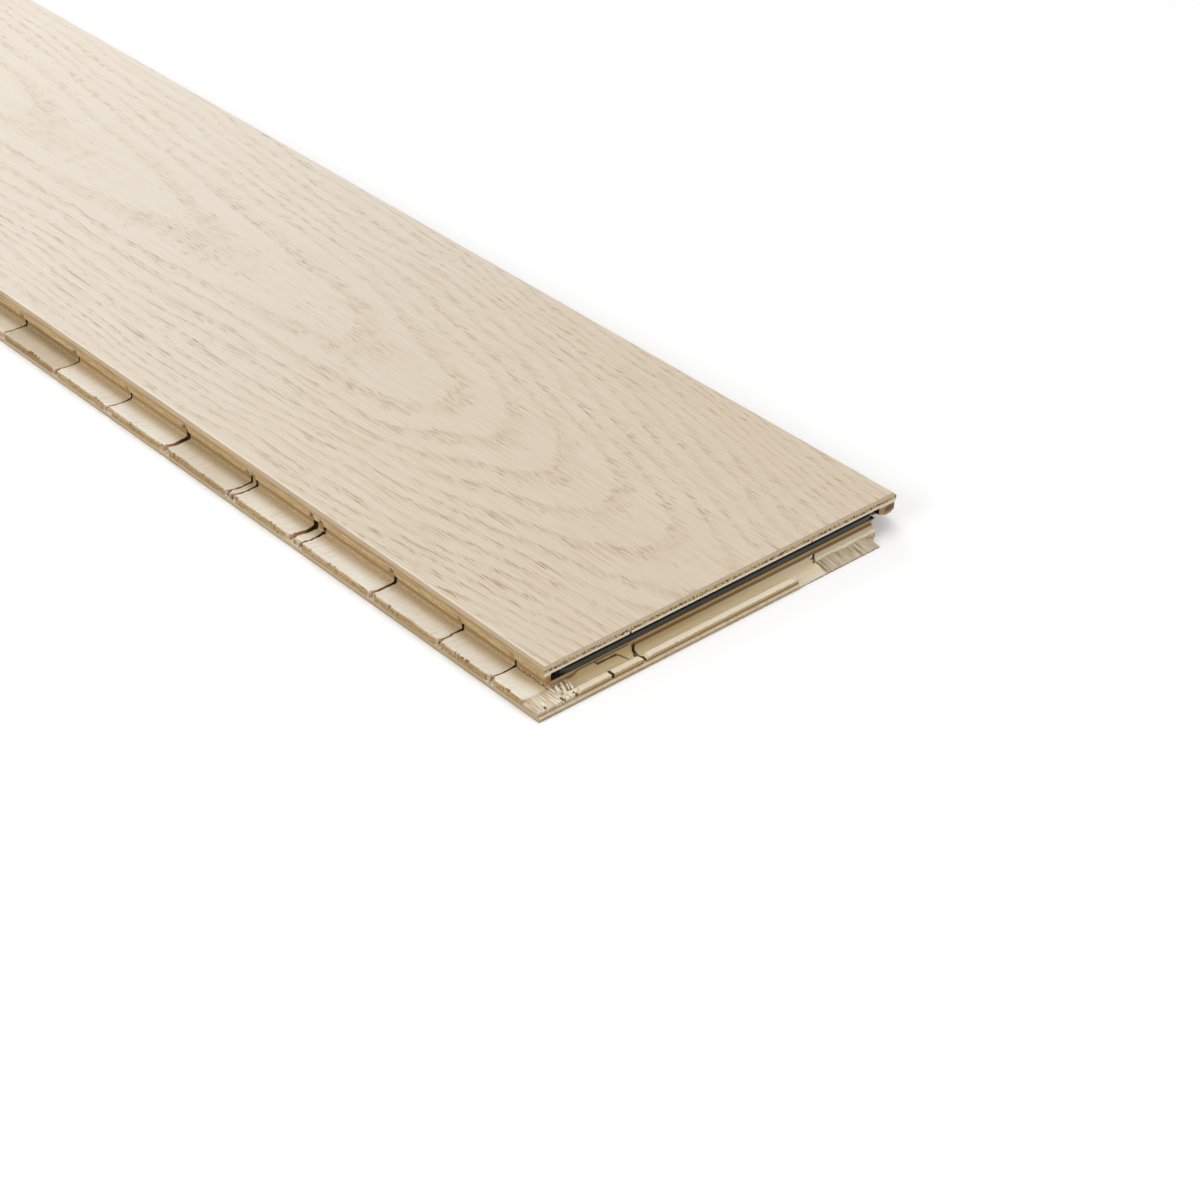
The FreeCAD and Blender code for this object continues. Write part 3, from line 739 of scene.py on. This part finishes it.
def ribbon(places, half, depth):
    """A thin cutter that follows a line of places on a surface."""
    shape = bmesh.new()
    rows = []
    for index, (out, across, height) in enumerate(places):
        before = Vector(places[max(index - 1, 0)][:2])
        after = Vector(places[min(index + 1, len(places) - 1)][:2])
        ahead = (after - before).normalized()
        aside = Vector((-ahead.y, ahead.x)) * half * (0.7 + 0.5 * (index % 2))
        row = []
        for side, level in ((-1, -depth), (1, -depth), (1, 1.5), (-1, 1.5)):
            corner = (NEAR + out + side * aside.x, GROOVE + across + side * aside.y, height + level)
            row.append(shape.verts.new(corner))
        rows.append(row)
    skin(shape, rows)
    return shape


def skin(shape, rows):
    """Close a tube of faces round rows of vertices, with a face at each end."""
    sides = len(rows[0])
    for first, second in zip(rows, rows[1:]):
        for a in range(sides):
            b = (a + 1) % sides
            shape.faces.new((first[a], first[b], second[b], second[a]))
    shape.faces.new(rows[0][::-1])
    shape.faces.new(rows[-1])
    bmesh.ops.recalc_face_normals(shape, faces=shape.faces)


def helper(shape, name):
    """A passing object for a boolean cut."""
    mesh = bpy.data.meshes.new(name)
    shape.to_mesh(mesh)
    shape.free()
    made = bpy.data.objects.new(name, mesh)
    bpy.context.scene.collection.objects.link(made)
    return made


def carve(shape, cutters):
    """Cut thin lines out of a shape and return the new shape."""
    body = helper(shape, "carved")
    tools = [helper(cutter, "cutter") for cutter in cutters]
    for tool in tools:
        boolean = body.modifiers.new("cut", "BOOLEAN")
        boolean.operation = "DIFFERENCE"
        boolean.solver = "EXACT"
        boolean.object = tool
    graph = bpy.context.evaluated_depsgraph_get()
    result = bmesh.new()
    result.from_mesh(body.evaluated_get(graph).data)
    for made in [body] + tools:
        bpy.data.objects.remove(made)
    return result


def joint_wear(y, x, z, joint, side, amount):
    """Bend and open a butt joint of the end row; side is 1 for the length beyond it."""
    out = x - NEAR
    hold = max(0.0, 1.0 - abs(y - joint) / 5.0)
    bend = amount * (1.0 - ease(out, 0.2, 1.9)) + 0.3 * hum(out / 1.5, joint) + 0.3 * hum(out / 0.5, joint)
    opening = 0.42 + 0.5 * max(0.0, hum(out / 1.1, z / 0.9, joint + side))
    return y + hold * bend + side * opening * hold ** 4


def in_crack(point, cracks):
    """1 for a vertex that lies down in one of the cracks, else 0."""
    place = Vector((point.x - NEAR, point.y - GROOVE))
    for half, depth, places in cracks:
        for first, second in zip(places, places[1:]):
            start = Vector(first[:2])
            run = Vector(second[:2]) - start
            share = min(max((place - start).dot(run) / run.length_squared, 0.0), 1.0)
            level = first[2] + (second[2] - first[2]) * share
            if (place - start - run * share).length < half * 1.4 and point.z < level - depth * 0.4:
                return 1.0
    return 0.0


def tear_corner(x, y, z, fresh, out, v):
    """The groove corner is torn in streaks along the board, and ragged where it ends over the hollow."""
    torn = ease(out, -0.2, 0.8) * (1.0 - ease(v, 9.0, 12.0))
    tear = hum(out / 3.5, v / 0.7, 6.0) + 0.6 * hum(out / 1.2, v / 0.4, 11.0)
    rim = max(ease(out, 6.5, 8.5), 1.0 - ease(v, -LONG_LIP, -LONG_LIP + 3.0))
    if z > 3.0:
        z += torn * (0.10 + 0.30 * rim) * tear - 0.12 * rim * torn
    x += torn * 0.3 * hum(v / 0.8, z / 1.0, 3.0) * ease(out, 0.4, 1.2)
    edge = torn * ease(v, 2.5, 4.0)
    y += edge * 0.7 * hum(out / 0.8, z / 1.4, 8.0)
    fresh = max(fresh, torn * (0.75 + 0.4 * tear))
    # dents under the splinters, painted brown as their shadow
    for hole_out, hole_v, span in HOLES_WITH_SHADOW:
        ragged = span + 0.5 * hum(out / 0.7, v / 0.7, hole_v)
        if math.hypot((out - hole_out) / 1.9, (v - hole_v) / 0.9) < ragged and z > 2.6:
            z -= 0.45
            fresh = -1.0
    return x, y, z, fresh


def end_wear(name, point, low, high):
    """Wear of the end row: torn joints, splintered breaks, a ragged lip."""
    x, y, z = point
    out = x - NEAR
    v = y - GROOVE
    fresh = 0.0
    if v < GROOVE_DEPTH + 0.2 and out < 0.6:
        # the row has a gap only behind it
        ends = (high.x * PER_METRE, low.x * PER_METRE)
        moved, fresh = lip_wear(point, ends, (None, 1.0), END_ROW_CHIPS)
        x, y, z = moved
    if z > WALL_TOP or z < CORE_FLOOR + 0.1 or out < -0.2:
        return Vector((x, y, z)), fresh
    for joint, amount in JOINTS:
        if abs(v - joint) < 5.0:
            side = 1.0 if v > joint else -1.0
            y = joint_wear(y, x, z, GROOVE + joint, side, amount)
            if abs(v - joint) < 0.95 and z < 4.5:
                fresh = -1.0 if side > 0.0 or hum(out / 0.9, z / 0.9, joint) > 0.0 else 0.6
    if abs(v - SLIT) < 1.2 and out > 4.5:
        side = 1.0 if v > SLIT else -1.0
        y += side * SLIT_GAPE * (1.0 - ease(abs(v - SLIT), 0.35, 1.2))
        if abs(v - SLIT) < 0.4:
            fresh = -1.0
    if name in CRACKS:
        fresh = min(fresh, -in_crack(point, CRACKS[name]))
    if name.endswith("left") and out > 0.0 and z < WALL_TOP:
        lift = FOOT_LIFT * ease(v, 13.0, 17.0) * (1.0 - ease(out, 0.3, 2.8))
        z += lift * min((WALL_TOP - z) / WALL_HEIGHT, 1.0)
    if name.endswith("left") and v < 14.0:
        x, y, z, fresh = tear_corner(x, y, z, fresh, out, v)
    if name.endswith("right"):
        edge = ease(out, 1.6, 2.2)
        x += edge * (0.5 * hum(v / 1.1, z / 2.0, 4.0) + 0.3 * hum(v / 3.5, 0.0, 14.0))
        z += 0.25 * edge * hum(v / 1.2, out, 21.0)
        fresh = max(fresh, ease(out, 1.8, 2.2) * ease(z, 2.4, 3.0))
    if name.endswith("middle") and out > 3.0:
        # the ridge ends in a rounded tear on one side, and is broken down beside the first joint
        if v > RIDGE_STOP - 2.0:
            z -= 0.5 * ease(v, RIDGE_STOP - 1.0, RIDGE_STOP + 1.8) * ease(z, 2.9, 3.6)
        if v < 47.0:
            z -= 0.7 * (1.0 - ease(v, 44.4, 46.6)) * ease(z, 2.7, 3.4)
    if out > 5.0 and z > 3.0:
        z += 0.08 * hum(v / 2.5, out, 31.0) - 0.04
    if out > 8.2:
        x += 0.12 * hum(v / 1.3, z / 0.7, 17.0) - 0.08
    return Vector((x, y, z)), fresh


def worn_end(name, tone, seed):
    """A length of the end row with its cracks, breaks and torn joints."""
    low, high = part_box(name)
    shape = solid(name)
    cutters = [ribbon(places, half, depth) for half, depth, places in CRACKS.get(name, [])]
    if cutters:
        shape = carve(shape, cutters)
    start = NEAR - 17.0 if name.endswith("left") else NEAR - 0.5
    slice_across(shape, X_AXIS, start, NEAR + 9.5, FINE_STEP)
    slice_across(shape, Y_AXIS, low.y * PER_METRE + 0.3, high.y * PER_METRE, 0.7)
    slice_across(shape, Z_AXIS, CORE_FLOOR + 0.4, 8.4, FINE_STEP)
    wear(shape, lambda point: end_wear(name, point, low, high))
    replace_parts(worn_piece(shape, name, tone, seed), name)


def veneer_wear(point):
    """Roughen the back veneer where it shows; none of it is fresh."""
    x, y, z = point
    out = x - NEAR
    v = y - GROOVE
    if out > 2.6 and v > RIDGE_STOP + 2.0:
        # the torn slope is streaked along the board, and its edge is ragged
        share = ease(out, 2.6, 4.5)
        if z > 0.2:
            z += share * (0.22 * hum(out / 6.0, v / 0.55, 2.0) + 0.15 * hum(out / 9.0, v / 1.6, 5.0))
            z = max(z, 0.15)
        x -= ease(out, 8.0, 9.4) * (0.25 + 0.35 * hum(v / 0.9, 1.0, 7.0))
    elif out > 9.0:
        x += 0.12 * hum(v / 1.1, z / 0.8, 12.0) - 0.1
    if v < 0.3 - LONG_LIP:
        y += 0.12 + 0.12 * hum(x / 1.4, z / 0.8, 22.0)
    return Vector((x, y, z)), 0.0


def worn_veneer():
    """The back veneer with a rough near end, cut most finely on the torn stretch."""
    shape = solid("back_veneer")
    low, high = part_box("back_veneer")
    slice_across(shape, X_AXIS, NEAR - 0.5, NEAR + 9.4, FINE_STEP)
    slice_across(shape, Y_AXIS, GROOVE + RIDGE_STOP, high.y * PER_METRE, 0.35)
    slice_across(shape, Y_AXIS, low.y * PER_METRE + 0.5, GROOVE + RIDGE_STOP, 1.2)
    slice_across(shape, Z_AXIS, 0.5, 1.9, 0.5)
    wear(shape, veneer_wear)
    made = worn_piece(shape, "back_veneer", 0.0, 0.0)
    made.data.materials[0] = nodes["back_veneer"].data.materials[0]
    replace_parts(made, "back_veneer")


def splinters():
    """Thin wedges of torn wood lying on the corner of the end lip."""
    shape = bmesh.new()
    layer = shape.verts.layers.float.new("fresh")
    last_side = SPLINTER_SIDES - 1
    for number, (start, stop, width, height, pale) in enumerate(SPLINTERS):
        start = Vector((NEAR + start[0], GROOVE + start[1], start[2]))
        stop = Vector((NEAR + stop[0], GROOVE + stop[1], stop[2]))
        ahead = (stop - start).normalized()
        aside = Vector((-ahead.y, ahead.x, 0.0)).normalized()
        rows = []
        for ring in range(SPLINTER_RINGS):
            share = ring / (SPLINTER_RINGS - 1.0)
            girth = (1.0 - ease(share, 0.7, 1.0) * 0.8) * (0.55 + 0.45 * ease(share, 0.0, 0.12))
            middle = start.lerp(stop, share) + aside * 0.15 * hum(share * 4.0, number * 3.7)
            row = []
            for side in range(SPLINTER_SIDES):
                angle = math.pi * side / last_side
                jag = 1.0 + 0.35 * hum(share * 6.0, side * 1.9, number * 5.1)
                push = aside * math.cos(angle) * width * 0.5 * girth * jag
                lift = Vector((0.0, 0.0, math.sin(angle) * height * girth * jag))
                vertex = shape.verts.new(middle + push + lift)
                # the foot of each splinter is painted brown as the shade under it
                vertex[layer] = pale if 0 < side < last_side else SPLINTER_FOOT_SHADE
                row.append(vertex)
            rows.append(row)
        skin(shape, rows)
    worn_piece(shape, "corner_splinters", SPLINTER_TONE, SPLINTER_SEED)


def floor():
    """A plain pale floor; it looks white to the camera and throws less light back on the board."""
    bpy.ops.mesh.primitive_plane_add(size=FLOOR_SIZE, location=(0.0, 0.0, 0.0))
    plane = bpy.context.object
    plane.name = "floor"
    g = Graph("pale_floor")
    path = g.node("ShaderNodeLightPath").outputs
    seen = 0.0
    for ray in SEEING_RAYS:
        seen = g.larger(seen, path[ray])
    g.finish(g.mix(seen, (170, 166, 160), (253, 253, 253)), 0.9, 0.0)
    g.shader.inputs["Emission Color"].default_value = WHITE
    g.put(g.times(seen, FLOOR_GLOW), g.shader.inputs["Emission Strength"])
    plane.data.materials.append(g.material)


def lamp(name, place, target, size, energy):
    """A round soft lamp that points at its target."""
    data = bpy.data.lights.new(name, "AREA")
    data.shape = "DISK"
    data.size = size
    data.energy = energy
    made = bpy.data.objects.new(name, data)
    bpy.context.scene.collection.objects.link(made)
    made.location = place
    made.rotation_euler = (Vector(target) - Vector(place)).to_track_quat("-Z", "Y").to_euler()


def camera():
    """The photo's camera."""
    data = bpy.data.cameras.new("camera")
    data.sensor_width = FILM_WIDTH
    data.lens = LENS
    data.clip_start = 0.01
    data.clip_end = 50.0
    made = bpy.data.objects.new("camera", data)
    bpy.context.scene.collection.objects.link(made)
    turn = Matrix((CAMERA_RIGHT, -CAMERA_DOWN, -CAMERA_AHEAD)).transposed().to_4x4()
    made.matrix_world = Matrix.Translation(CAMERA_PLACE) @ turn
    bpy.context.scene.camera = made


def studio_world():
    """Soft white light that is strongest overhead; the backdrop looks white."""
    made = bpy.data.worlds.new("studio")
    bpy.context.scene.world = made
    made.use_nodes = True
    tree = made.node_tree
    direction = tree.nodes.new("ShaderNodeTexCoord")
    split = tree.nodes.new("ShaderNodeSeparateXYZ")
    level = tree.nodes.new("ShaderNodeMapRange")
    level.inputs["To Min"].default_value = SKY_SIDE
    level.inputs["To Max"].default_value = SKY_TOP
    tree.links.new(direction.outputs["Generated"], split.inputs[0])
    tree.links.new(split.outputs["Z"], level.inputs["Value"])
    path = tree.nodes.new("ShaderNodeLightPath")
    strength = level.outputs["Result"]
    for ray in SEEING_RAYS:
        larger = tree.nodes.new("ShaderNodeMath")
        larger.operation = "MAXIMUM"
        tree.links.new(strength, larger.inputs[0])
        tree.links.new(path.outputs[ray], larger.inputs[1])
        strength = larger.outputs[0]
    background = tree.nodes["Background"]
    background.inputs["Color"].default_value = WHITE
    tree.links.new(strength, background.inputs["Strength"])


dress("oak_wear_layer", oak_material())
dress("back_veneer", veneer_material())
dress("locking_tongue", plastic_material())
softwood = softwood_material()

# seeds and tones go round by steps of the golden ratio, so that neighbours differ
for index, name in enumerate(sorted(n for n in nodes if n.startswith("core_"))):
    dress(name, softwood)
    nodes[name]["seed"] = (index * SEED_STEP) % 1.0
    nodes[name]["tone"] = SLAT_TONES.get(name, PALEST_TONE + TONE_SPREAD * ((index * TONE_STEP) % 1.0))
    if name.startswith("core_slat_"):
        worn_slat(name, int(name[-2:]), nodes[name]["tone"], nodes[name]["seed"])

for part in ("left", "middle", "right"):
    name = "core_end_slat_" + part
    worn_end(name, nodes[name]["tone"], nodes[name]["seed"])

worn_veneer()
splinters()
floor()
camera()
for settings in LAMPS:
    lamp(*settings)
studio_world()
bpy.context.scene.view_settings.view_transform = "Standard"
